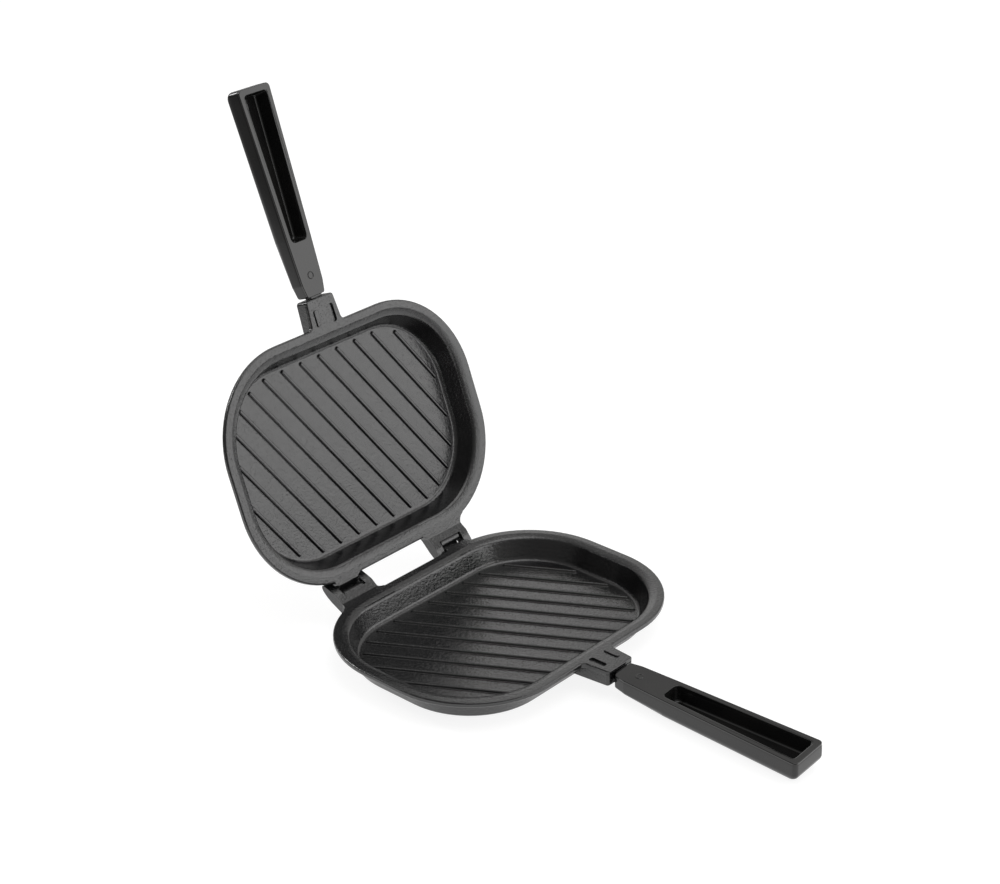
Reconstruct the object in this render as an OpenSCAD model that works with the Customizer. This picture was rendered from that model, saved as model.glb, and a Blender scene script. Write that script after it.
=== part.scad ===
// A hinged stove-top pie iron in millimetres: two identical cast grill pans that close
// face to face, each with a moulded trough handle. The origin is the centre of the lower
// pan's flat base, X runs to the lower handle, Y along the hinge and Z up. The upper pan
// is drawn opened back on its hinge stop.

/* [Pan] */
// size of the rim along the handle direction
rim_length = 172; // [168:1:180]
// size of the rim along the hinge
rim_width = 240; // [232:1:252]
// plan radius of the rim's corners
rim_corner = 70; // [66:1:74]
// height of the parting plane over the flat base
pan_depth = 20; // [18:0.5:24]
// thickness of the cast floor
floor_thick = 3; // [2.6:0.1:4]
// thickness of the rim flange
rim_thick = 3.5; // [3:0.1:4.5]
// width of the flat band along the rim's outer edge
rim_flat = 5.5; // [4:0.1:7]
// width of the rounded lip between the flat band and the cavity
lip_width = 6; // [5:0.1:7]
// how far the rounded lip drops towards the cavity
lip_drop = 1.8; // [1.2:0.1:2.4]
// slope of the cavity wall, its foot measured inwards from its head
wall_draft = 4; // [3:0.1:6]
// radius between the cavity wall and the floor
floor_fillet = 3.5; // [2:0.1:4]
// how far each rim stays below the parting plane
rim_gap = 0.2; // [0.15:0.05:0.5]

/* [Grill ribs] */
// distance between neighbouring ribs, square to them
rib_pitch = 15.4; // [14:0.1:18]
// angle of the ribs to the handle direction
rib_angle = 31; // [25:1:37]
// width of a rib at the floor
rib_width = 3.2; // [2.6:0.1:4]
// height of a rib over the floor
rib_height = 1.5; // [1:0.1:2]

/* [Hinge] */
// distance of the hinge axis from the pan's centre
hinge_reach = 96; // [95.5:0.5:100]
// opening angle at the stop
open_angle = 111.45; // [105:0.05:118]
// distance between the middles of the two hinges
hinge_spacing = 99; // [92:1:106]
// width of the fork over both arms
fork_width = 35; // [33:0.5:38]
// width of the window between the fork's arms
window_width = 21.5; // [20.5:0.5:23]
// width of the knuckle that turns in the window
knuckle_width = 18; // [16:0.5:19]
// radius of the knuckle's barrel
barrel_radius = 3.3; // [3.1:0.1:3.5]
// diameter of the hinge pin
pin_diameter = 3.2; // [2.6:0.1:3.4]
// radial clearance of the pin in the knuckle
pin_clearance = 0.06; // [0.03:0.01:0.1]
// free space between the knuckle's barrel and the window's hollow wall
barrel_gap = 0.4; // [0.35:0.05:0.5]

/* [Socket] */
// length of the socket lug beyond the rim
socket_length = 20.3; // [18:0.1:24]
// half the width of the lug at the rim
socket_root_half = 14.3; // [13:0.1:16]
// half the width of the lug at its tip
socket_tip_half = 13; // [12:0.1:14]
// height of the lug at its tip
socket_tip_height = 10.3; // [9.5:0.1:12]
// height of the lug where it meets the pan
socket_root_height = 12.2; // [11:0.1:14]

/* [Handle] */
// length of the moulded handle
handle_length = 151.3; // [130:1:170]
// half the width of the handle at its neck
neck_half = 8.9; // [8.2:0.1:9.6]
// half the width of the grip behind the neck
grip_root_half = 10.4; // [9.9:0.1:11.4]
// half the width of the grip at its tip
grip_tip_half = 15.3; // [13.5:0.1:17]
// thickness of the grip
handle_thick = 13.8; // [13:0.1:16]
// rounding of the grip's back edges
back_round = 4; // [2:0.1:5]
// depth of the trough
trough_depth = 11.4; // [8:0.1:11.8]
// half the width of the trough at its narrow end
trough_root_half = 7.8; // [7:0.1:8.2]
// half the width of the trough at its wide end
trough_tip_half = 11; // [9:0.1:11.5]
// gap between the lug's tip and the neck
neck_gap = 1.4; // [1:0.1:2.5]
// roll of the handle about its stud, the side towards plus Y up
handle_roll = 4.2; // [0:0.1:5]
// diameter of the stud that joins handle and lug
stud_diameter = 4; // [3:0.1:4.4]
// length of the stud
stud_length = 40; // [34:1:44]

/* [Hidden] */
// straight parts of the rim, as half sizes of the core rectangle
core_x = rim_length / 2 - rim_corner;
core_y = rim_width / 2 - rim_corner;
rim_top = pan_depth - rim_gap;
wall_head = rim_corner - rim_flat - lip_width;
wall_foot = wall_head - wall_draft;
outer_head = wall_head + 2.6;
outer_foot = wall_foot + 3.4;
base_round = 3;
rib_field = wall_foot - floor_fillet - 2.6;
// hinge side of the rim and the handle side of the rim along X
rim_x = rim_length / 2;
lug_tip_x = rim_x + socket_length;
hinge_y = hinge_spacing / 2;
window_radius = barrel_radius + barrel_gap;
// angles about the hinge axis, from the pan's own direction towards its open side
lip_angle = 48;
neck_front_angle = -72;
neck_back_angle = -118;
stop_angle = open_angle - neck_back_angle + 4;
web_radius = window_radius + 2;
pin_radius = pin_diameter / 2;
pin_length = fork_width - 0.6;
// height of the stud's axis under the parting plane
stud_drop = 6.1;
stud_radius = stud_diameter / 2;
neck_x = lug_tip_x + neck_gap;
grip_x = neck_x + 9.3;
tip_x = neck_x + handle_length;
face_drop = 2.7;
trough_start = neck_x + 39.8;
trough_end = tip_x - 5;
fit_interference = 0.01;
$fn = 48;

// points on an arc about a centre
function arc(c, r, a0, a1, n) = [
    for (i = [0 : n])
        [c.x + r * cos(a0 + (a1 - a0) * i / n), c.y + r * sin(a0 + (a1 - a0) * i / n)]
];

// distance of a plan point from the core rectangle
function core_distance(p) = norm([max(abs(p.x) - core_x, 0), max(abs(p.y) - core_y, 0)]);

// how far a line from an inner point runs inside the rib field
function reach(p, d, lo, hi, n) =
    n == 0 ? lo :
    core_distance(p + d * (lo + hi) / 2) < rib_field ?
        reach(p, d, (lo + hi) / 2, hi, n - 1) :
        reach(p, d, lo, (lo + hi) / 2, n - 1);

// a ring of material round the core rectangle, its section drawn from the core edge out
module round_core(section, solid_top, solid_bottom) {
    for (sx = [0 : 3]) {
        cx = (sx == 0 || sx == 3) ? core_x : -core_x;
        cy = (sx < 2) ? core_y : -core_y;
        translate([cx, cy, 0])
            rotate([0, 0, 90 * sx])
                rotate_extrude(angle = 90, $fn = 96)
                    polygon(section);
    }
    for (s = [0, 1]) {
        rotate([0, 0, 180 * s])
            translate([core_x, core_y, 0])
                rotate([90, 0, 0])
                    linear_extrude(height = 2 * core_y)
                        polygon(section);
        rotate([0, 0, 180 * s])
            translate([-core_x, core_y, 0])
                rotate([90, 0, 90])
                    linear_extrude(height = 2 * core_x)
                        polygon(section);
    }
    translate([-core_x, -core_y, solid_bottom])
        cube([2 * core_x, 2 * core_y, solid_top - solid_bottom]);
}

// the outside of the pan: flat base, drafted wall and the rim flange
function outside_section() = concat(
    [[0, 0]],
    arc([outer_foot - base_round, base_round], base_round, -90, -8, 6),
    arc([outer_head + 3, pan_depth - rim_gap - rim_thick - 3], 3, 176, 90, 4),
    arc([rim_corner - 0.9, rim_top - rim_thick + 0.9], 0.9, -90, 0, 3),
    arc([rim_corner - 1.2, rim_top - 1.2], 1.2, 0, 90, 4),
    [[0, rim_top]]
);

// the cavity: rounded lip, drafted wall and the fillet down to the floor
function cavity_section() = concat(
    [[0, floor_thick]],
    arc([wall_foot - floor_fillet, floor_thick + floor_fillet], floor_fillet, -90, -15, 5),
    arc([wall_head + 0.7, pan_depth - lip_drop - rim_gap - 0.7], 0.7, 165, 112, 2),
    [
        [wall_head + lip_width * 0.4, rim_top - lip_drop * 0.52],
        [wall_head + lip_width * 0.7, rim_top - lip_drop * 0.22],
        [rim_corner - rim_flat, rim_top],
        [rim_corner - rim_flat, rim_top + 2],
        [0, rim_top + 2]
    ]
);

// section of one rib, rounded on top and sunk a little into the floor
function rib_section() = [
    [-rib_width / 2, -0.4],
    [-rib_width / 2, 0.1],
    [-rib_width * 0.4, rib_height * 0.55],
    [-rib_width * 0.27, rib_height * 0.88],
    [-rib_width * 0.1, rib_height],
    [rib_width * 0.1, rib_height],
    [rib_width * 0.27, rib_height * 0.88],
    [rib_width * 0.4, rib_height * 0.55],
    [rib_width / 2, 0.1],
    [rib_width / 2, -0.4]
];

// one half of the rib section, turned to make a rib's rounded end
function rib_half_section() = [
    [0, -0.4],
    [0, rib_height],
    [rib_width * 0.1, rib_height],
    [rib_width * 0.27, rib_height * 0.88],
    [rib_width * 0.4, rib_height * 0.55],
    [rib_width / 2, 0.1],
    [rib_width / 2, -0.4]
];

// one slanted rib through a plan point, cut to the rib field
module rib(offset_mm) {
    d = [cos(rib_angle), sin(rib_angle)];
    p = [-d.y, d.x] * offset_mm;
    if (core_distance(p) < rib_field - 3) {
        forward = reach(p, d, 0, 250, 22);
        back = reach(p, -d, 0, 250, 22);
        a = p - d * back;
        translate([a.x, a.y, floor_thick])
            rotate([0, 0, rib_angle]) {
                rotate([90, 0, 90])
                    linear_extrude(height = back + forward)
                        polygon(rib_section());
                rotate([0, 0, 90])
                    rotate_extrude(angle = 180, $fn = 24)
                        polygon(rib_half_section());
                translate([back + forward, 0, 0])
                    rotate([0, 0, -90])
                        rotate_extrude(angle = 180, $fn = 24)
                            polygon(rib_half_section());
            }
    }
}

// a side profile drawn from the hinge axis and pushed out along Y about a middle
module along_hinge(middle, width) {
    translate([-hinge_reach, middle + width / 2, pan_depth])
        rotate([90, 0, 0])
            linear_extrude(height = width)
                children();
}

// plan of the fork plate with a hollow corner to the rim outside and inside
function fork_plan() = let(
    outer = -hinge_y - fork_width / 2,
    inner = -hinge_y + fork_width / 2,
    notch = 7,
    cy = outer - notch,
    cx = -core_x - sqrt(pow(rim_corner + notch, 2) - pow(cy + core_y, 2)),
    touch = atan2(cy + core_y, cx + core_x)
) concat(
    [[-hinge_reach - 14, outer]],
    arc([cx, cy], notch, 90, touch + 180, 6),
    [[-rim_x + 24, -core_y - 18], [-rim_x + 24, inner + 4]],
    arc([-rim_x - 4, inner + 4], 4, 0, -90, 5),
    [[-hinge_reach - 14, inner]]
);

// the fork: a plate flush with the rim, a ramp and two arms joined by a stop web
module fork() {
    intersection() {
        translate([0, 0, -5])
            linear_extrude(height = pan_depth + 20)
                polygon(fork_plan());
        along_hinge(-hinge_y - 6, fork_width + 30)
            polygon([
                [34, -rim_gap],
                [7.4, -rim_gap],
                [2.2, 3.65],
                [-2.4, 5.2],
                [-6.2, 6.3],
                [-10.4, 7.5],
                [-11.6, 7.5],
                [-12.4, 6.8],
                [-12.5, 5.6],
                [-11.6, 3.8],
                [-10, 2],
                [-7.2, -0.3],
                [-3.2, -2.8],
                [1, -4.8],
                [7, -7.8],
                [14, -9.2],
                [20, -9.8],
                [34, -9.8]
            ]);
    }
    // web under the hinge axis whose end is the opening stop
    along_hinge(-hinge_y, window_width + 3)
        polygon(concat([[0, 0]], arc([0, 0], web_radius, stop_angle - 360, -50, 8)));
}

// the window between the fork's arms, hollow about the hinge axis
module fork_window() {
    along_hinge(-hinge_y, window_width)
        circle(r = window_radius);
    along_hinge(-hinge_y, window_width)
        polygon([
            [0, 0],
            [20 * cos(lip_angle), 20 * sin(lip_angle)],
            [-25, 20],
            [-25, -20],
            [20 * cos(stop_angle), 20 * sin(stop_angle)]
        ]);
}

// the knuckle: a barrel on the axis and a neck that clears the other fork's ramp
module knuckle() {
    along_hinge(hinge_y, knuckle_width)
        circle(r = barrel_radius);
    along_hinge(hinge_y, knuckle_width)
        polygon([
            [34, -rim_gap],
            [8, -rim_gap],
            [4.8 * cos(neck_front_angle), 4.8 * sin(neck_front_angle)],
            [1.5 * cos(neck_front_angle), 1.5 * sin(neck_front_angle)],
            [1.5 * cos(neck_back_angle), 1.5 * sin(neck_back_angle)],
            [8.2 * cos(neck_back_angle), 8.2 * sin(neck_back_angle)],
            [-2.2, -8.4],
            [0, -9],
            [16, -11],
            [34, -11.5]
        ]);
    // hollow corners between the tongue and the rim
    intersection() {
        translate([-rim_x - 3, hinge_y - knuckle_width / 2 - 3, rim_top - rim_thick])
            cube([20, knuckle_width + 6, rim_thick]);
        difference() {
            translate([-rim_x - 3, hinge_y - knuckle_width / 2 - 3, 0])
                cube([20, knuckle_width + 6, pan_depth - rim_gap]);
            for (s = [-1, 1])
                translate([-rim_x - 3, hinge_y + s * (knuckle_width / 2 + 3), -1])
                    cylinder(r = 3, h = pan_depth + 2);
        }
    }
}

// plan of the socket lug with hollow root corners and rounded tip corners
function lug_plan() = concat(
    [[rim_x - 14, -socket_root_half - 2.6]],
    arc([rim_x + 3, -socket_root_half - 3], 3, 172, 90, 4),
    arc([lug_tip_x - 2, -socket_tip_half + 2], 2, -90, 0, 4),
    arc([lug_tip_x - 2, socket_tip_half - 2], 2, 0, 90, 4),
    arc([rim_x + 3, socket_root_half + 3], 3, 270, 188, 4),
    [[rim_x - 14, socket_root_half + 2.6]]
);

// the socket lug that carries the handle's stud
module lug() {
    intersection() {
        linear_extrude(height = pan_depth + 1)
            polygon(lug_plan());
        translate([0, 40, 0])
            rotate([90, 0, 0])
                linear_extrude(height = 80)
                    polygon([
                        [rim_x - 16, pan_depth - rim_gap],
                        [lug_tip_x - 1.8, pan_depth - rim_gap],
                        [lug_tip_x - 0.7, pan_depth - rim_gap - 0.5],
                        [lug_tip_x, pan_depth - rim_gap - 1.6],
                        [lug_tip_x, pan_depth - socket_tip_height + 0.8],
                        [lug_tip_x - 0.8, pan_depth - socket_tip_height],
                        [rim_x, pan_depth - socket_root_height],
                        [rim_x - 16, pan_depth - socket_root_height - 1.2]
                    ]);
    }
}

// outline of a keying boss or slot on the lug, rounded at its ends
module key_plan(length, width, r) {
    translate([r, -width / 2])
        square([length - 2 * r, width]);
    translate([0, -width / 2 + r])
        square([length, width - 2 * r]);
    for (x = [r, length - r], y = [-width / 2 + r, width / 2 - r])
        translate([x, y])
            circle(r = r, $fn = 24);
}

// one complete casting with its cavity, ribs, lug, fork and knuckle
module casting() {
    difference() {
        union() {
            difference() {
                union() {
                    round_core(outside_section(), rim_top, 0);
                    lug();
                    fork();
                    knuckle();
                }
                round_core(cavity_section(), rim_top + 2, floor_thick);
                fork_window();
            }
            for (i = [-6 : 6])
                rib(i * rib_pitch - 0.4);
            translate([rim_x + 0.4, 7.4, rim_top - 0.5])
                linear_extrude(height = 0.65)
                    key_plan(12.2, 3.8, 1.2);
        }
        translate([rim_x + 0.1, -7.6, rim_top - 1.4])
            linear_extrude(height = 3)
                key_plan(13.2, 4.4, 1.5);
        // bores for the hinge pin in the fork's arms and in the knuckle
        translate([-hinge_reach, -hinge_y + fork_width, pan_depth])
            rotate([90, 0, 0])
                cylinder(r = pin_radius - fit_interference, h = 2 * fork_width);
        translate([-hinge_reach, hinge_y + fork_width / 2, pan_depth])
            rotate([90, 0, 0])
                cylinder(r = pin_radius + pin_clearance, h = fork_width);
        // blind bore for the handle's stud
        translate([lug_tip_x - stud_length / 2 + 3, 0, pan_depth - stud_drop])
            rotate([0, 90, 0])
                cylinder(r = stud_radius - fit_interference, h = stud_length);
    }
}

// section of the handle square to its length: flat face, rounded back edges
function grip_section(half, top, bottom, r) = concat(
    arc([-half + 1, top - 1], 1, 180, 90, 3),
    arc([half - 1, top - 1], 1, 90, 0, 3),
    arc([half - r, bottom + r], r, 0, -90, 6),
    arc([-half + r, bottom + r], r, -90, -180, 6)
);

// a thin slice of the handle at a place along X
module grip_slice(x, half, top, bottom, r) {
    translate([x, 0, 0])
        rotate([90, 0, 90])
            linear_extrude(height = 0.1)
                polygon(grip_section(half, top, bottom, r));
}

// the moulded handle in the pan's frame, before its roll
module handle_body() {
    top = pan_depth - face_drop;
    bottom = top - handle_thick;
    difference() {
        union() {
            hull() {
                grip_slice(grip_x, grip_root_half, top, bottom, back_round);
                grip_slice(tip_x - 1.8, grip_tip_half, top + 0.3, bottom, back_round);
                grip_slice(tip_x - 0.6, grip_tip_half - 0.4, top, bottom + 0.4, back_round);
                grip_slice(tip_x - 0.1, grip_tip_half - 1.4, top - 0.9, bottom + 1.3, back_round);
            }
            hull() {
                grip_slice(neck_x, neck_half - 0.5, top - 0.4, bottom + 1.4, 3);
                grip_slice(neck_x + 0.5, neck_half, top, bottom + 1, 3);
                grip_slice(grip_x + 1, grip_root_half - 0.3, top, bottom + 0.5, 3.4);
            }
            // pad that bears on the lug's tip
            translate([lug_tip_x, -5.5, pan_depth - stud_drop - 3])
                cube([neck_gap + 1, 11, 6]);
        }
        hull() {
            for (s = [-1, 1]) {
                translate([trough_start + 3, s * (trough_root_half - 3), top - trough_depth + 2])
                    sphere(r = 2, $fn = 24);
                translate([trough_end - 2.4, s * (trough_tip_half - 2.4), top - trough_depth + 2])
                    sphere(r = 2, $fn = 24);
                translate([trough_start + 3, s * (trough_root_half - 3), top + 1])
                    cylinder(r = 3, h = 1, $fn = 24);
                translate([trough_end - 2.4, s * (trough_tip_half - 2.4), top + 1])
                    cylinder(r = 2.4, h = 1, $fn = 24);
            }
        }
        translate([lug_tip_x - 1, 0, pan_depth - stud_drop])
            rotate([0, 90, 0])
                cylinder(r = stud_radius - fit_interference, h = stud_length / 2 + 4);
    }
}

// the handle rolled about the stud that it is screwed on
module rolled_handle() {
    translate([0, 0, pan_depth - stud_drop])
        rotate([handle_roll, 0, 0])
            translate([0, 0, -(pan_depth - stud_drop)])
                handle_body();
}

// the stud between lug and handle
module stud() {
    translate([lug_tip_x - stud_length / 2 + 3.5, 0, pan_depth - stud_drop])
        rotate([0, 90, 0])
            cylinder(r = stud_radius, h = stud_length);
}

// the hinge pin in its fork
module hinge_pin() {
    translate([-hinge_reach, -hinge_y + pin_length / 2, pan_depth])
        rotate([90, 0, 0])
            cylinder(r = pin_radius, h = pin_length);
}

// turns a piece over onto the lower half and opens it about the hinge
module opened() {
    translate([-hinge_reach, 0, pan_depth])
        rotate([0, -open_angle, 0])
            rotate([180, 0, 0])
                translate([hinge_reach, 0, -pan_depth])
                    children();
}

module lower_pan() {
    color([0.16, 0.16, 0.17])
        casting();
}

module upper_pan() {
    color([0.16, 0.16, 0.17])
        opened()
            casting();
}

module lower_handle() {
    color([0.05, 0.05, 0.06])
        rolled_handle();
}

module upper_handle() {
    color([0.05, 0.05, 0.06])
        opened()
            rolled_handle();
}

module lower_stud() {
    color([0.6, 0.6, 0.62])
        stud();
}

module upper_stud() {
    color([0.6, 0.6, 0.62])
        opened()
            stud();
}

module near_hinge_pin() {
    color([0.6, 0.6, 0.62])
        hinge_pin();
}

module far_hinge_pin() {
    color([0.6, 0.6, 0.62])
        opened()
            hinge_pin();
}

lower_pan();
upper_pan();
lower_handle();
upper_handle();
lower_stud();
upper_stud();
near_hinge_pin();
far_hinge_pin();
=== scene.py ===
import math

import bmesh
import bpy
from mathutils import Matrix, Vector


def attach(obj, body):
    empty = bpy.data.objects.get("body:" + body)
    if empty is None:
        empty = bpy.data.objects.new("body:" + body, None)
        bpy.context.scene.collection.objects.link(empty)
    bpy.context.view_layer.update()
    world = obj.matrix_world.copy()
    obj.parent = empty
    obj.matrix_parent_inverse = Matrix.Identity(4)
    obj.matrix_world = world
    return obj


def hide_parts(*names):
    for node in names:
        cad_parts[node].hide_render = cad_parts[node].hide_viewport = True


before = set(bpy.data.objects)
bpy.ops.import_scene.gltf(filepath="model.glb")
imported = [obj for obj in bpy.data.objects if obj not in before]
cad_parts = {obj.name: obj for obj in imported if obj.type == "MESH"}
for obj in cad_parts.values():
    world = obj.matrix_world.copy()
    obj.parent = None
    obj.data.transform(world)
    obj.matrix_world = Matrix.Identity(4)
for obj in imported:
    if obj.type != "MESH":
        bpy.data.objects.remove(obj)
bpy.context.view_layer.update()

# Camera. The view was solved from matching points on the two identical halves: it
# stands about 1.6 m away and looks down at 27 degrees, over the lower pan's near
# corner, towards the open upper pan.
camera_place = Vector((0.9084735, -1.033856, 0.834548))
camera_right = Vector((0.75117528, 0.66010146, 0.00132527))
camera_up = Vector((-0.29597769, 0.33501767, 0.89451684))
camera_back = Vector((0.59002789, -0.67233118, 0.4470323))
camera_data = bpy.data.cameras.new("camera")
camera_data.sensor_width = 36
camera_data.lens = 82.72
camera_data.shift_x = -0.00272
camera_data.shift_y = 0.00508
camera_data.clip_end = 30
camera = bpy.data.objects.new("camera", camera_data)
camera.matrix_world = Matrix((
    (camera_right.x, camera_up.x, camera_back.x, camera_place.x),
    (camera_right.y, camera_up.y, camera_back.y, camera_place.y),
    (camera_right.z, camera_up.z, camera_back.z, camera_place.z),
    (0, 0, 0, 1),
))
bpy.context.scene.collection.objects.link(camera)
bpy.context.scene.camera = camera
bpy.context.scene.view_settings.view_transform = "Standard"

# Studio. A wide white table in a dim pale room, under five soft boxes: one above, one
# at the right, a wide and a narrow one at the left, and a small one on the far side.
# The camera and close reflections see the table white, and it keeps the soft shadow; farther off,
# painted shade darkens it in reflections.
world = bpy.data.worlds.new("studio")
world.use_nodes = True
bpy.context.scene.world = world
world_nodes = world.node_tree.nodes
world_links = world.node_tree.links
world_nodes.clear()
world_out = world_nodes.new("ShaderNodeOutputWorld")
world_mix = world_nodes.new("ShaderNodeMixShader")

# the room's own light, brighter towards the far side
world_light = world_nodes.new("ShaderNodeBackground")
world_light.inputs["Color"].default_value = (1.0, 0.99, 0.975, 1)
world_way = world_nodes.new("ShaderNodeTexCoord")
world_axes = world_nodes.new("ShaderNodeSeparateXYZ")
world_depth = world_nodes.new("ShaderNodeMapRange")
world_depth.inputs["From Min"].default_value = -0.7
world_depth.inputs["From Max"].default_value = 0.8
world_depth.inputs["To Min"].default_value = 0.25
world_depth.inputs["To Max"].default_value = 0.78
world_links.new(world_way.outputs["Generated"], world_axes.inputs[0])
world_links.new(world_axes.outputs["Y"], world_depth.inputs["Value"])
world_links.new(world_depth.outputs[0], world_light.inputs["Strength"])

# the camera sees plain white behind the table
world_seen = world_nodes.new("ShaderNodeBackground")
world_seen.inputs["Color"].default_value = (1, 1, 1, 1)
world_seen.inputs["Strength"].default_value = 1.0
world_path = world_nodes.new("ShaderNodeLightPath")
world_links.new(world_path.outputs["Is Camera Ray"], world_mix.inputs[0])
world_links.new(world_light.outputs[0], world_mix.inputs[1])
world_links.new(world_seen.outputs[0], world_mix.inputs[2])
world_links.new(world_mix.outputs[0], world_out.inputs["Surface"])

floor_half, floor_drop = 7, 0.0003
floor_corners = [(-floor_half, -floor_half, 0), (floor_half, -floor_half, 0),
                 (floor_half, floor_half, 0), (-floor_half, floor_half, 0)]
floor_mesh = bpy.data.meshes.new("table")
floor_mesh.from_pydata(floor_corners, [], [(0, 1, 2, 3)])
floor = bpy.data.objects.new("table", floor_mesh)
floor.location.z = -floor_drop
bpy.context.scene.collection.objects.link(floor)
floor_material = bpy.data.materials.new("white_table")
floor_material.use_nodes = True
floor_nodes = floor_material.node_tree.nodes
floor_links = floor_material.node_tree.links
floor_nodes.clear()
floor_out = floor_nodes.new("ShaderNodeOutputMaterial")
floor_sum = floor_nodes.new("ShaderNodeAddShader")
floor_choice = floor_nodes.new("ShaderNodeMixShader")
floor_path = floor_nodes.new("ShaderNodeLightPath")

# the table's colour for reflections and bounce light: painted shade darkens it away from the object
floor_paint_and_shade = floor_nodes.new("ShaderNodeBsdfDiffuse")
floor_place = floor_nodes.new("ShaderNodeTexCoord")
floor_reach = floor_nodes.new("ShaderNodeVectorMath")
floor_reach.operation = "LENGTH"
floor_fade = floor_nodes.new("ShaderNodeMapRange")
floor_fade.interpolation_type = "SMOOTHSTEP"
floor_fade.inputs["From Min"].default_value = 0.35
floor_fade.inputs["From Max"].default_value = 1.0
# painted shade: pale grey near the object, painted darker grey farther off
floor_painted_shade = floor_nodes.new("ShaderNodeMixRGB")
floor_painted_shade.inputs[1].default_value = (0.5, 0.5, 0.5, 1)
floor_painted_shade.inputs[2].default_value = (0.25, 0.25, 0.25, 1)
floor_links.new(floor_place.outputs["Object"], floor_reach.inputs[0])
floor_links.new(floor_reach.outputs["Value"], floor_fade.inputs["Value"])
floor_links.new(floor_fade.outputs[0], floor_painted_shade.inputs[0])
floor_links.new(floor_painted_shade.outputs[0], floor_paint_and_shade.inputs["Color"])

# the paint as the camera sees it; with the lift it comes to white, less the shadow
floor_seen = floor_nodes.new("ShaderNodeBsdfDiffuse")
floor_seen.inputs["Color"].default_value = (0.26, 0.26, 0.26, 1)
floor_links.new(floor_path.outputs["Is Camera Ray"], floor_choice.inputs[0])
floor_links.new(floor_paint_and_shade.outputs[0], floor_choice.inputs[1])
floor_links.new(floor_seen.outputs[0], floor_choice.inputs[2])

# the lift to white, for the camera and for reflections close to the object
floor_near = floor_nodes.new("ShaderNodeMath")
floor_near.operation = "SUBTRACT"
floor_near.inputs[0].default_value = 1.0
floor_gloss = floor_nodes.new("ShaderNodeMath")
floor_gloss.operation = "MULTIPLY"
floor_either = floor_nodes.new("ShaderNodeMath")
floor_either.operation = "ADD"
floor_gain = floor_nodes.new("ShaderNodeMath")
floor_gain.operation = "MULTIPLY"
floor_gain.inputs[1].default_value = 0.86
floor_lift = floor_nodes.new("ShaderNodeEmission")
floor_lift.inputs["Color"].default_value = (1, 1, 1, 1)
floor_links.new(floor_fade.outputs[0], floor_near.inputs[1])
floor_links.new(floor_path.outputs["Is Glossy Ray"], floor_gloss.inputs[0])
floor_links.new(floor_near.outputs[0], floor_gloss.inputs[1])
floor_links.new(floor_path.outputs["Is Camera Ray"], floor_either.inputs[0])
floor_links.new(floor_gloss.outputs[0], floor_either.inputs[1])
floor_links.new(floor_either.outputs[0], floor_gain.inputs[0])
floor_links.new(floor_gain.outputs[0], floor_lift.inputs["Strength"])
floor_links.new(floor_choice.outputs[0], floor_sum.inputs[0])
floor_links.new(floor_lift.outputs[0], floor_sum.inputs[1])
floor_links.new(floor_sum.outputs[0], floor_out.inputs["Surface"])
floor_mesh.materials.append(floor_material)

# soft boxes: place, aim, width, height and watts
for name, place, aim, width, height, watts in (
    ("top_box", (0.3, 0.5, 2.0), (0, 0, 0.05), 1.5, 1.5, 11),
    ("back_box", (1.6, 1.25, 0.7), (-0.1, 0, 0.12), 2.3, 1.4, 17),
    ("left_box", (-1.4, -0.62, 1.15), (0, 0, 0.05), 1.0, 0.8, 5),
    ("far_box", (-0.86, 0.86, 0.58), (0.03, 0.02, 0.01), 0.5, 0.6, 0.5),
    ("left_strip", (-1.45, -0.5, 0.85), (0, 0, 0.05), 0.14, 0.4, 4.5),
):
    box = bpy.data.lights.new(name, "AREA")
    box.shape = "RECTANGLE"
    box.size = width
    box.size_y = height
    box.energy = watts
    lamp = bpy.data.objects.new(name, box)
    lamp.location = place
    lamp.rotation_euler = (Vector(aim) - Vector(place)).to_track_quat("-Z", "Y").to_euler()
    bpy.context.scene.collection.objects.link(lamp)

# Cast pans. Two identical aluminium castings: a drafted wall round a flat ribbed floor,
# a flat rim, a socket lug for the handle, and one fork and one knuckle on the hinge
# side. The upper pan is the same casting turned over and opened on the hinge.

# millimetres in the lower pan's frame; the section's widths, rim_corner and wall_foot
# are distances from a core rectangle of half sizes core_x and core_y
core_x, core_y = 16.0, 50.0
rim_corner = 70.0
rim_x = core_x + rim_corner
rim_edge = 69.98
rim_top, rim_under = 19.8, 16.3
pan_depth = 20.0
floor_top = 3.0
wall_foot = 54.5
root_overlap = 2.4
hinge_x = -96.0
open_angle = math.radians(111.45)
to_metres = Matrix.Scale(0.001, 4)


def rounded_ring(out, z, steps=20):
    """A closed loop at a distance from the pan's core rectangle, in millimetres."""
    corners = ((core_x, core_y), (-core_x, core_y), (-core_x, -core_y), (core_x, -core_y))
    ring = []
    for turn, (cx, cy) in enumerate(corners):
        for i in range(steps + 1):
            a = math.radians(90 * turn + 90 * i / steps)
            ring.append(Vector((cx + out * math.cos(a), cy + out * math.sin(a), z)))
    return ring


def corner_arc(cx, cz, r, start, end, steps):
    """The points of an arc; start and end are in degrees."""
    return [
        (cx + r * math.cos(math.radians(start + (end - start) * i / steps)),
         cz + r * math.sin(math.radians(start + (end - start) * i / steps)))
        for i in range(steps + 1)
    ]


def skin(bm, loops, cap_start=True, cap_end=True):
    """Joins closed loops of equal length with quads and closes both ends."""
    rows = [[bm.verts.new(p) for p in loop] for loop in loops]
    for a, b in zip(rows, rows[1:]):
        for i in range(len(a)):
            j = (i + 1) % len(a)
            bm.faces.new((a[i], a[j], b[j], b[i]))
    if cap_start:
        bm.faces.new(rows[0][::-1])
    if cap_end:
        bm.faces.new(rows[-1])
    return rows


casting = bmesh.new()

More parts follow.
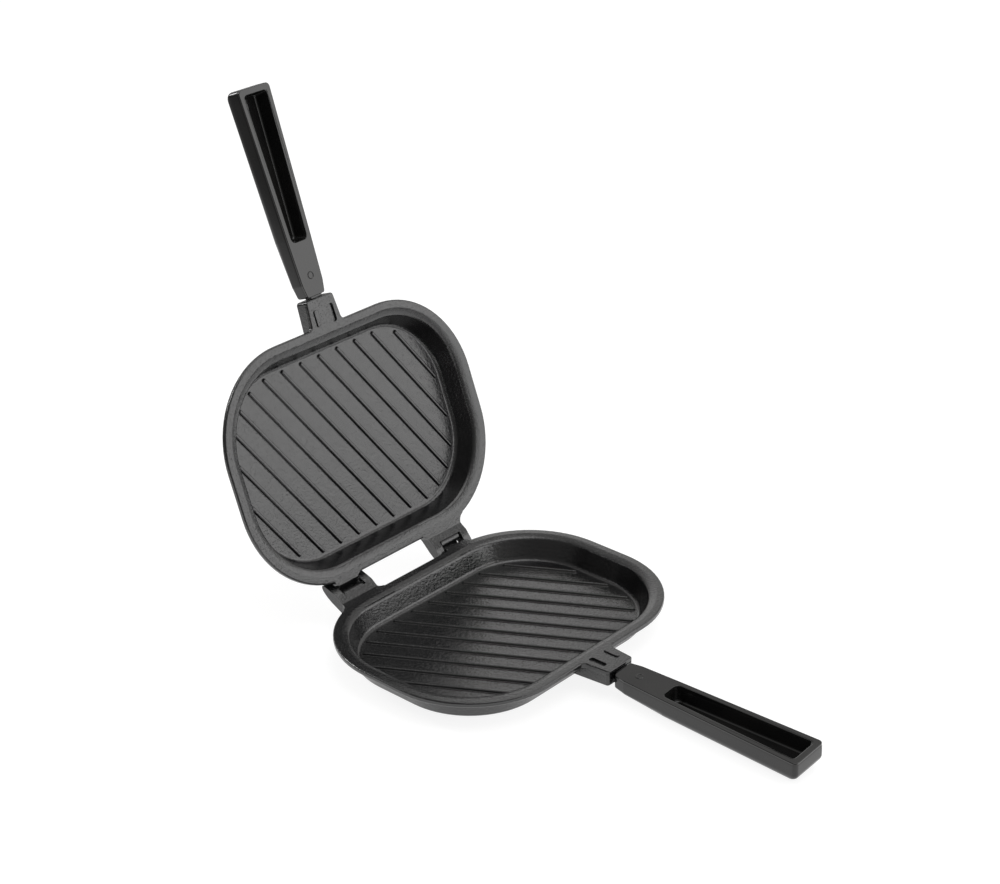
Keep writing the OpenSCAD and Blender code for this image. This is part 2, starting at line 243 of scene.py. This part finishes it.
# outside, rim, rounded lip, drafted cavity wall and floor, drawn as one section of
# distances from the core rectangle and heights
foot_round, root_hollow, rim_round, lip_round, cove = 3, 3, 0.9, 1.2, 3.5
lip_slope = [(68.3, 0), (64.9, 0), (64.3, 0.03), (63.6, 0.16), (62.7, 0.42), (61.8, 0.72),
             (61.0, 0.98), (60.3, 1.26), (59.6, 1.62), (59.0, 2.1), (58.55, 2.8), (58.3, 3.6)]
section = [(52.4, 0.0)] + corner_arc(53.4, foot_round, foot_round, -90, -8, 7)
section += corner_arc(64.1, rim_under - root_hollow, root_hollow, 176, 92, 6)
section += corner_arc(rim_edge - rim_round, rim_under + rim_round, rim_round, -88, 0, 5)
section += corner_arc(rim_edge - lip_round, rim_top - lip_round, lip_round, 0, 90, 6)
section += [(out, rim_top - drop) for out, drop in lip_slope]
section += corner_arc(wall_foot - cove, floor_top + cove, cove, -15, -90, 8)
section += [(wall_foot - 6, floor_top)]
skin(casting, [rounded_ring(out, z) for out, z in section])

# slanted grill ribs, highest along their middle and hollow where they meet the floor;
# they end at the same distance from the core rectangle all round
rib_pitch, rib_shift, rib_angle = 15.4, 0.4, math.radians(31)
rib_field, rib_margin = 48.4, 3
rib_profile = [(0.02, 1.55), (0.5, 1.52), (0.85, 1.4), (1.1, 1.16), (1.27, 0.8), (1.4, 0.42),
               (1.55, 0.17), (1.75, 0.04), (2.1, -0.06)]
rib_way = Vector((math.cos(rib_angle), math.sin(rib_angle)))
rib_side = Vector((-rib_way.y, rib_way.x))


def core_distance(p):
    return math.hypot(max(abs(p.x) - core_x, 0), max(abs(p.y) - core_y, 0))


def rib_end(middle, way):
    """Halves its way out to the point where a rib reaches the edge of the ribbed field."""
    low, high = 0.0, 250.0
    for _ in range(24):
        probe = (low + high) / 2
        if core_distance(middle + way * probe) < rib_field:
            low = probe
        else:
            high = probe
    return middle + way * low


for number in range(-6, 7):
    middle = rib_side * (number * rib_pitch - rib_shift)
    if core_distance(middle) > rib_field - rib_margin:
        continue
    ends = [(rib_end(middle, rib_way * sign), sign) for sign in (1, -1)]
    loops = []
    for out, height in rib_profile:
        loop = []
        for tip, sign in ends:
            for degrees in range(-90, 91, 15):
                a = math.radians(degrees)
                p = tip + (rib_way * math.cos(a) + rib_side * math.sin(a)) * sign * out
                loop.append(Vector((p.x, p.y, floor_top + height)))
        loops.append(loop)
    skin(casting, loops[::-1], cap_start=False)


def prism(outline, low, high, along):
    """A closed solid: an outline pushed from low to high along y or z."""
    bm = bmesh.new()
    if along == "y":
        loops = [[Vector((a, y, b)) for a, b in outline] for y in (low, high)]
    else:
        loops = [[Vector((a, b, z)) for a, b in outline] for z in (low, high)]
    skin(bm, loops)
    bmesh.ops.recalc_face_normals(bm, faces=bm.faces)
    mesh = bpy.data.meshes.new("blank")
    bm.to_mesh(mesh)
    bm.free()
    return mesh


def machined(blank, edge, keep=(), cut=(), sharp=28, rounds=3):
    """Trims a blank with other solids and rounds its edges, as a casting's are."""
    scratch = [bpy.data.objects.new("blank", blank)]
    scratch += [bpy.data.objects.new("tool", m) for m in list(keep) + list(cut)]
    for o in scratch:
        bpy.context.scene.collection.objects.link(o)
    body = scratch[0]
    for i, tool in enumerate(scratch[1:]):
        m = body.modifiers.new("trim", "BOOLEAN")
        m.operation = "INTERSECT" if i < len(keep) else "DIFFERENCE"
        m.solver = "EXACT"
        m.object = tool
    if edge:
        m = body.modifiers.new("round", "BEVEL")
        m.width = edge
        m.segments = rounds
        m.limit_method = "ANGLE"
        m.angle_limit = math.radians(sharp)
        m.use_clamp_overlap = True
    settled = body.evaluated_get(bpy.context.evaluated_depsgraph_get())
    shaped = bpy.data.meshes.new_from_object(settled)
    for o in scratch:
        bpy.data.objects.remove(o)
    return shaped


def both_sides(near):
    """A plan outline from its near half; each point's y is mirrored for the far half."""
    return near + [(x, -y, *rest) for x, y, *rest in reversed(near)]


def oval_plan(left, right, near, far, r):
    """The outline of a keying slot or boss, from the centres of its corner arcs."""
    return (corner_arc(left, near, r, 180, 270, 4) + corner_arc(right, near, r, -90, 0, 4)
            + corner_arc(right, far, r, 0, 90, 4) + corner_arc(left, far, r, 90, 180, 4))


# socket lug: a block under the rim, a top with hollow root corners level with the
# rim, a keying slot and a keying boss
lug_reach, lug_half, lug_corner, lug_root = 20.3, 13, 2.2, 3
lug_tip = rim_x + lug_reach
lug_edge, slot_edge, boss_edge = 0.9, 0.22, 0.35
slot_depth, boss_height = 2.2, 0.9
lug_blank, lug_trim = (-25, 25), (-1, 30)
lug_end = corner_arc(lug_tip - lug_corner, lug_corner - lug_half, lug_corner, -90, 0, 5)
block_plan = both_sides([(rim_x - 14, -lug_half)] + lug_end)
block_side = [(rim_x - 10.6, rim_top - 1.5), (lug_tip, rim_top - 1.5), (lug_tip, pan_depth - 11.6),
              (rim_x, pan_depth - 13.2), (rim_x - 10.6, pan_depth - 14)]
top_plan = both_sides([(rim_x - root_overlap, -16.8)]
                      + corner_arc(rim_x + lug_root, -17.3, lug_root, 172, 90, 5) + lug_end)
top_side = [(rim_x - 16, rim_top + 0.012), (lug_tip, rim_top + 0.012),
            (lug_tip, rim_under - 0.4), (rim_x - 16, rim_under - 0.4)]
slot_plan = oval_plan(rim_x + 1.6, rim_x + 11.8, -8.3, -6.9, 1.5)
boss_plan = oval_plan(rim_x + 1.9, rim_x + 11.1, 7.0, 7.8, 1.5)
casting.from_mesh(machined(prism(block_side, *lug_blank, "y"), lug_edge,
                           keep=[prism(block_plan, *lug_trim, "z")]))
lug_top = machined(prism(top_side, *lug_blank, "y"), lug_edge,
                   keep=[prism(top_plan, *lug_trim, "z")])
casting.from_mesh(machined(lug_top, slot_edge, sharp=60, rounds=2,
                           cut=[prism(slot_plan, rim_top - slot_depth, lug_trim[1], "z")]))
casting.from_mesh(machined(prism(boss_plan, rim_top - 0.5, rim_top + boss_height, "z"), boss_edge))


def polar(r, degrees):
    return (r * math.cos(math.radians(degrees)), r * math.sin(math.radians(degrees)))


def at_hinge(side):
    """A side outline drawn from the hinge axis, moved to its place on the pan."""
    return [(hinge_x + u, pan_depth + w) for u, w in side]


# fork: plate, ramp and two arms, with a window for the other pan's knuckle
fork_y, fork_half, fork_edge, fork_root_edge = -49.5, 17.5, 0.55, 0.4
notch_r, inner_r = 7, 4
window_r, window_half = 3.7, 10.75
fork_blank, hinge_trim = (fork_y - 32, fork_y + 26), (-5, 40)
fork_side = [(34, -9.8), (34, -0.185), (7.4, -0.185), (2.2, 3.65), (-2.4, 5.2), (-6.2, 6.3),
             (-10.4, 7.5), (-11.6, 7.5), (-12.4, 6.8), (-12.5, 5.6), (-11.6, 3.8), (-10, 2),
             (-7.2, -0.3), (-3.2, -2.8), (1, -4.8), (7, -7.8), (14, -9.2), (20, -9.8)]
notch_y = fork_y - fork_half - notch_r
notch_x = -core_x - math.sqrt((rim_corner + notch_r) ** 2 - (notch_y + core_y) ** 2)
notch_turn = math.degrees(math.atan2(notch_y + core_y, notch_x + core_x))
notch_arc = corner_arc(notch_x, notch_y, notch_r, 90, notch_turn + 180, 8)
inner_arc = corner_arc(-rim_x - inner_r, fork_y + fork_half + inner_r, inner_r, 0, -90, 6)
fork_plan = [(hinge_x - 14, fork_y - fork_half)] + notch_arc
fork_plan += corner_arc(-core_x, -core_y, rim_corner - root_overlap, notch_turn + 1.5, -180, 8)
fork_plan += [(-rim_x + root_overlap, fork_y + fork_half + inner_r)] + inner_arc
fork_plan += [(hinge_x - 14, fork_y + fork_half)]
window = [polar(window_r, degrees) for degrees in range(-126, 49, 6)]
window += [polar(20, 48), (-25, 20), (-25, -20), polar(20, -126.55)]
window_block = prism(at_hinge(window), fork_y - window_half, fork_y + window_half, "y")
casting.from_mesh(machined(prism(at_hinge(fork_side), *fork_blank, "y"), fork_edge,
                           keep=[prism(fork_plan, *hinge_trim, "z")], cut=[window_block], rounds=2))

# the fork's root under the rim
fork_root_side = [(24, -9.8), (24, -1.5), (9, -1.5), (8, -8.0), (14, -9.2), (20, -9.7)]
fork_root_plan = [(hinge_x + 7, fork_y - fork_half)] + notch_arc
fork_root_plan += [(-75.4, -74), (-75.4, fork_y + fork_half + inner_r)] + inner_arc
fork_root_plan += [(hinge_x + 7, fork_y + fork_half)]
casting.from_mesh(machined(prism(at_hinge(fork_root_side), *fork_blank, "y"), fork_root_edge,
                           keep=[prism(fork_root_plan, *hinge_trim, "z")], rounds=2))

# the stop web that joins the two arms under the hinge axis
web_inside, web_outside, web_half = 3.75, 5.7, 12
web = [polar(web_inside, degrees) for degrees in range(-126, -49, 4)]
web += [polar(web_outside, degrees) for degrees in range(-50, -127, -4)]
casting.from_mesh(machined(prism(at_hinge(web), fork_y - web_half, fork_y + web_half, "y"), 0))

# knuckle: a barrel on the hinge axis, the neck that carries it and the neck's root
knuckle_y, knuckle_half, barrel_r, neck_root = 49.5, 9, 3.3, 3
knuckle_edge, neck_root_edge = 0.45, 0.4
knuckle_blank = (knuckle_y - 14, knuckle_y + 14)
neck_side = [(34, -11.5), (34, -0.185), (8, -0.185), polar(4.8, -72)]
neck_side += [polar(barrel_r, degrees) for degrees in range(-72, 243, 9)]
neck_side += [polar(8.2, -118), (-2.2, -8.4), (0, -9), (16, -11)]
wide_half = knuckle_half + neck_root
neck_plan = [(hinge_x - 12, knuckle_y - knuckle_half)]
neck_plan += [(-rim_x - neck_root, knuckle_y - knuckle_half)]
neck_plan += corner_arc(-rim_x - neck_root, knuckle_y - wide_half, neck_root, 90, 0, 5)
neck_plan += [(-rim_x + root_overlap, knuckle_y - wide_half)]
neck_plan += [(-rim_x + root_overlap, knuckle_y + wide_half)]
neck_plan += corner_arc(-rim_x - neck_root, knuckle_y + wide_half, neck_root, 0, -90, 5)
neck_plan += [(hinge_x - 12, knuckle_y + knuckle_half)]
casting.from_mesh(machined(prism(at_hinge(neck_side), *knuckle_blank, "y"), knuckle_edge,
                           keep=[prism(neck_plan, *hinge_trim, "z")], rounds=2))
neck_root_side = [(20.6, -11.3), (20.6, -1.5), (9.5, -1.5), (9, -10.1), (16, -11)]
casting.from_mesh(machined(prism(at_hinge(neck_root_side), knuckle_y - knuckle_half,
                                 knuckle_y + knuckle_half, "y"), neck_root_edge, rounds=2))


def shaded_mesh(name, bm, sharp):
    """The mesh in metres, smooth except at edges sharper than an angle in degrees.

    Its large faces set the normals, so that rounded edges don't shade the flats.
    """
    mesh = bpy.data.meshes.new(name)
    bm.to_mesh(mesh)
    bm.free()
    mesh.transform(to_metres)
    mesh.shade_smooth()
    mesh.set_sharp_from_angle(angle=math.radians(sharp))
    carrier = bpy.data.objects.new("carrier", mesh)
    bpy.context.scene.collection.objects.link(carrier)
    m = carrier.modifiers.new("even", "WEIGHTED_NORMAL")
    m.keep_sharp = True
    m.weight = 80
    settled = carrier.evaluated_get(bpy.context.evaluated_depsgraph_get())
    shaded = bpy.data.meshes.new_from_object(settled)
    bpy.data.objects.remove(carrier)
    return shaded


casting_mesh = shaded_mesh("casting", casting, 38)


def speckled_coating():
    """Node group: the skin of a sprayed non-stick coating over rough cast metal."""
    group = bpy.data.node_groups.new("coating_skin", "ShaderNodeTree")
    face = group.interface
    for socket in ("Grain size", "Grain depth", "Pits"):
        face.new_socket(socket, in_out="INPUT", socket_type="NodeSocketFloat")
    for socket in ("Shade", "Sheen"):
        face.new_socket(socket, in_out="OUTPUT", socket_type="NodeSocketFloat")
    face.new_socket("Normal", in_out="OUTPUT", socket_type="NodeSocketVector")
    n, l = group.nodes, group.links
    start = n.new("NodeGroupInput")
    end = n.new("NodeGroupOutput")
    place = n.new("ShaderNodeTexCoord")
    peel = n.new("ShaderNodeTexNoise")
    peel.inputs["Detail"].default_value = 3
    peel.inputs["Roughness"].default_value = 0.55
    pit = n.new("ShaderNodeTexVoronoi")
    pit.feature = "F1"
    wave = n.new("ShaderNodeTexNoise")
    wave.inputs["Scale"].default_value = 45
    wave.inputs["Detail"].default_value = 2
    pit_scale = n.new("ShaderNodeMath")
    pit_scale.operation = "MULTIPLY"
    pit_scale.inputs[1].default_value = 1.7
    l.new(start.outputs["Grain size"], peel.inputs["Scale"])
    l.new(start.outputs["Grain size"], pit_scale.inputs[0])
    l.new(pit_scale.outputs[0], pit.inputs["Scale"])
    for t in (peel, pit, wave):
        l.new(place.outputs["Object"], t.inputs["Vector"])
    # small pits where the coating bridges a pore
    hole = n.new("ShaderNodeMapRange")
    hole.inputs["From Min"].default_value = 0.0
    hole.inputs["From Max"].default_value = 0.35
    hole.inputs["To Min"].default_value = -1.0
    hole.inputs["To Max"].default_value = 0.0
    l.new(pit.outputs["Distance"], hole.inputs["Value"])
    hole_depth = n.new("ShaderNodeMath")
    hole_depth.operation = "MULTIPLY"
    l.new(hole.outputs[0], hole_depth.inputs[0])
    l.new(start.outputs["Pits"], hole_depth.inputs[1])
    height = n.new("ShaderNodeMath")
    height.operation = "ADD"
    l.new(peel.outputs["Fac"], height.inputs[0])
    l.new(hole_depth.outputs[0], height.inputs[1])
    bump = n.new("ShaderNodeBump")
    bump.inputs["Distance"].default_value = 0.00025
    l.new(start.outputs["Grain depth"], bump.inputs["Strength"])
    l.new(height.outputs[0], bump.inputs["Height"])
    l.new(bump.outputs[0], end.inputs["Normal"])
    # slow change of colour, and a finer change of gloss that follows the grain
    shade = n.new("ShaderNodeMapRange")
    shade.inputs["From Min"].default_value = 0.3
    shade.inputs["From Max"].default_value = 0.7
    l.new(wave.outputs["Fac"], shade.inputs["Value"])
    l.new(shade.outputs[0], end.inputs["Shade"])
    sheen = n.new("ShaderNodeMapRange")
    sheen.inputs["From Min"].default_value = 0.35
    sheen.inputs["From Max"].default_value = 0.65
    l.new(peel.outputs["Fac"], sheen.inputs["Value"])
    l.new(sheen.outputs[0], end.inputs["Sheen"])
    return group


coating_skin = speckled_coating()


def speckled_finish(name, grain, depth, pits, dark, light, roughness, rough_by):
    """A material over the speckled skin, with its own grain, colours and roughness."""
    finish = bpy.data.materials.new(name)
    finish.use_nodes = True
    nodes = finish.node_tree.nodes
    links = finish.node_tree.links
    shader = nodes["Principled BSDF"]
    speckle = nodes.new("ShaderNodeGroup")
    speckle.node_tree = coating_skin
    speckle.inputs["Grain size"].default_value = grain
    speckle.inputs["Grain depth"].default_value = depth
    speckle.inputs["Pits"].default_value = pits
    colour = nodes.new("ShaderNodeMixRGB")
    colour.inputs[1].default_value = dark
    colour.inputs[2].default_value = light
    links.new(speckle.outputs["Shade"], colour.inputs[0])
    links.new(colour.outputs[0], shader.inputs["Base Color"])
    rough = nodes.new("ShaderNodeMapRange")
    rough.inputs["To Min"].default_value = roughness[0]
    rough.inputs["To Max"].default_value = roughness[1]
    links.new(speckle.outputs[rough_by], rough.inputs["Value"])
    links.new(rough.outputs[0], shader.inputs["Roughness"])
    links.new(speckle.outputs["Normal"], shader.inputs["Normal"])
    return finish


coating = speckled_finish("coated_aluminium", grain=560, depth=0.85, pits=0.5,
                          dark=(0.0045, 0.0047, 0.0052, 1), light=(0.0075, 0.0076, 0.008, 1),
                          roughness=(0.1, 0.17), rough_by="Sheen")
coating_shader = coating.node_tree.nodes["Principled BSDF"]
coating_shader.inputs["Specular IOR Level"].default_value = 0.75
casting_mesh.materials.append(coating)

turned_over = (
    Matrix.Translation((hinge_x / 1000, 0, pan_depth / 1000))
    @ Matrix.Rotation(-open_angle, 4, "Y")
    @ Matrix.Rotation(math.pi, 4, "X")
    @ Matrix.Translation((-hinge_x / 1000, 0, -pan_depth / 1000))
)

for name, body, node, place in (
    ("lower_casting", "lower_half", "lower_pan", Matrix.Identity(4)),
    ("upper_casting", "upper_half", "upper_pan", turned_over),
):
    mesh = casting_mesh.copy()
    mesh.transform(place)
    piece = bpy.data.objects.new(name, mesh)
    bpy.context.scene.collection.objects.link(piece)
    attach(piece, body)
    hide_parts(node)

# Handles. Gloss black phenolic mouldings: a flat inner face with a long finger
# trough, rounded back edges, and a narrow neck that bears on the lug. Each is
# screwed on its stud and stands a few degrees off level.
neck_x, shoulder_x, swell_x, tip_x = 107.7, 117.0, 150, 258.8
neck_half, shoulder_half, swell_half, tip_half = 8.9, 10.7, 12.1, 15.7
face_z, back_z, stud_z = pan_depth - 2.7, 2.0, pan_depth - 6.1
neck_rise, neck_run = 3.2, 40
tip_round, side_round, back_round, face_round = 6.4, 4.2, 6.2, 0.5
trough_start, trough_end = 147.5, 254
trough_narrow, trough_wide, trough_depth = 7.8, 11, 11.4
handle_roll = math.radians(4.2)


def rounded_outline(corners, steps):
    """A closed outline with an arc at every corner; corners are (x, y, radius)."""
    points = []
    for i, (x, y, r) in enumerate(corners):
        here = Vector((x, y))
        before = (Vector(corners[i - 1][:2]) - here).normalized()
        after = (Vector(corners[(i + 1) % len(corners)][:2]) - here).normalized()
        half = before.angle(after) / 2
        reach = r / math.tan(half)
        centre = here + (before + after).normalized() * (r / math.sin(half))
        first, last = here + before * reach - centre, here + after * reach - centre
        swing = first.angle_signed(last)
        for k in range(steps):
            a = -swing * k / (steps - 1)
            turned = Vector((first.x * math.cos(a) - first.y * math.sin(a),
                             first.x * math.sin(a) + first.y * math.cos(a)))
            points.append(centre + turned)
    return points


def grip_loop(ends_in, sides_in, z, rise=0.0):
    """The handle's outline, drawn in at its ends and sides and raised towards the neck."""
    corners = both_sides([
        (neck_x + ends_in, sides_in - neck_half, 1.6),
        (shoulder_x, sides_in - shoulder_half, 9),
        (swell_x, sides_in - swell_half, 60),
        (tip_x - ends_in, sides_in - tip_half, 3.2),
    ])
    loop = []
    for p in rounded_outline(corners, 6):
        near_neck = max(0.0, min(1.0, (swell_x - p.x) / neck_run))
        loop.append(Vector((p.x, p.y, z + rise * near_neck)))
    return loop


def trough_loop(draw_in, depth):
    corners = both_sides([
        (trough_start + draw_in, draw_in - trough_narrow, 4.0),
        (trough_end - draw_in, draw_in - trough_wide, 2.6),
    ])
    return [Vector((p.x, p.y, face_z - depth)) for p in rounded_outline(corners, 12)]


moulding = bmesh.new()

# rounded back, side, fine ledge and the rounded edge of the flat face
grip = []
for i in range(11):
    a = math.radians(90 * i / 10)
    draw = 1 - math.sin(a)
    grip.append(grip_loop(tip_round * draw, side_round * draw,
                          back_z + back_round * (1 - math.cos(a)), neck_rise * math.cos(a)))
for ends_in, sides_in, depth in ((0, 0, 2.4), (0.25, 0.3, 1.7),
                                 (0.3, 0.35, 0.9), (0.1, 0.15, 0.55)):
    grip.append(grip_loop(ends_in, sides_in, face_z - depth))
for i in range(1, 5):
    a = math.radians(90 * i / 4)
    draw = face_round * (1 - math.cos(a))
    grip.append(grip_loop(0.1 + draw, 0.15 + draw, face_z - 0.45 + face_round * math.sin(a)))
grip.append(grip_loop(1.0, 1.1, face_z))
face_edge = skin(moulding, grip, cap_end=False)[-1]

# finger trough, drawn in as it goes down
trough = [trough_loop(draw_in, depth) for draw_in, depth in (
    (-0.9, 0), (-0.5, 0), (-0.15, 0.15), (0.0, 0.5),
    (0.9, 9.6), (1.2, 10.6), (1.8, 11.2), (2.8, trough_depth))]
trough_edge = skin(moulding, trough, cap_start=False)[0]

# flat face between the two; both outlines start at the same corner so that it lies flat
around = len(face_edge)


def face_twist(start):
    return sum((trough_edge[(i + start) % around].co - face_edge[i].co).length
               for i in range(0, around, 6))


shift = min(range(around), key=face_twist)
for i in range(around):
    j = (i + 1) % around
    moulding.faces.new((face_edge[i], face_edge[j],
                        trough_edge[(j + shift) % around], trough_edge[(i + shift) % around]))
bmesh.ops.recalc_face_normals(moulding, faces=moulding.faces)


def turned_rings(x, z, steps, profile):
    """Round loops about an upright axis; the profile gives radii and heights."""
    turns = [math.tau * k / steps for k in range(steps)]
    return [[Vector((x + r * math.cos(a), r * math.sin(a), z + h)) for a in turns]
            for r, h in profile]


# pad on the neck that bears on the lug
pad_half_width, pad_half_height = 5.5, 3
pad_side = [(neck_x - 1.3, stud_z - pad_half_height), (neck_x + 1, stud_z - pad_half_height),
            (neck_x + 1, stud_z + pad_half_height), (neck_x - 1.3, stud_z + pad_half_height)]
moulding.from_mesh(machined(prism(pad_side, -pad_half_width, pad_half_width, "y"), 0.2))

# plain raised ring on the neck, and the ejector pin's disc in the trough
ring_x, ejector_x = 122.5, 246
ring_profile = ((2.9, -0.05), (2.8, 0.2), (2.5, 0.32), (2.2, 0.2), (2.05, 0.03), (1.2, 0.01))
ejector_profile = ((2.6, -0.05), (2.45, 0.12), (2.2, 0.15))
skin(moulding, turned_rings(ring_x, face_z, 32, ring_profile))
skin(moulding, turned_rings(ejector_x, face_z - trough_depth, 24, ejector_profile))

moulding.transform(Matrix.Translation((0, 0, stud_z)) @ Matrix.Rotation(handle_roll, 4, "X")
                   @ Matrix.Translation((0, 0, -stud_z)))
moulding_mesh = shaded_mesh("moulding", moulding, 42)
phenolic = speckled_finish("phenolic", grain=260, depth=0.06, pits=0.0,
                           dark=(0.008, 0.008, 0.0082, 1), light=(0.013, 0.0125, 0.012, 1),
                           roughness=(0.07, 0.12), rough_by="Shade")
moulding_mesh.materials.append(phenolic)

for name, body, node, place in (
    ("lower_grip", "lower_half", "lower_handle", Matrix.Identity(4)),
    ("upper_grip", "upper_half", "upper_handle", turned_over),
):
    mesh = moulding_mesh.copy()
    mesh.transform(place)
    piece = bpy.data.objects.new(name, mesh)
    bpy.context.scene.collection.objects.link(piece)
    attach(piece, body)
    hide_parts(node)

# Studs and hinge pins. Plain drawn steel: the studs join lug and handle, and the
# pins are pressed into the fork's arms and run in the knuckle's bore.
steel = speckled_finish("steel", grain=2500, depth=0.1, pits=0.1,
                        dark=(0.42, 0.42, 0.43, 1), light=(0.56, 0.56, 0.57, 1),
                        roughness=(0.28, 0.4), rough_by="Sheen")
steel.node_tree.nodes["Principled BSDF"].inputs["Metallic"].default_value = 1.0
for node in ("lower_stud", "upper_stud", "near_hinge_pin", "far_hinge_pin"):
    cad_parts[node].data.materials.clear()
    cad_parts[node].data.materials.append(steel)
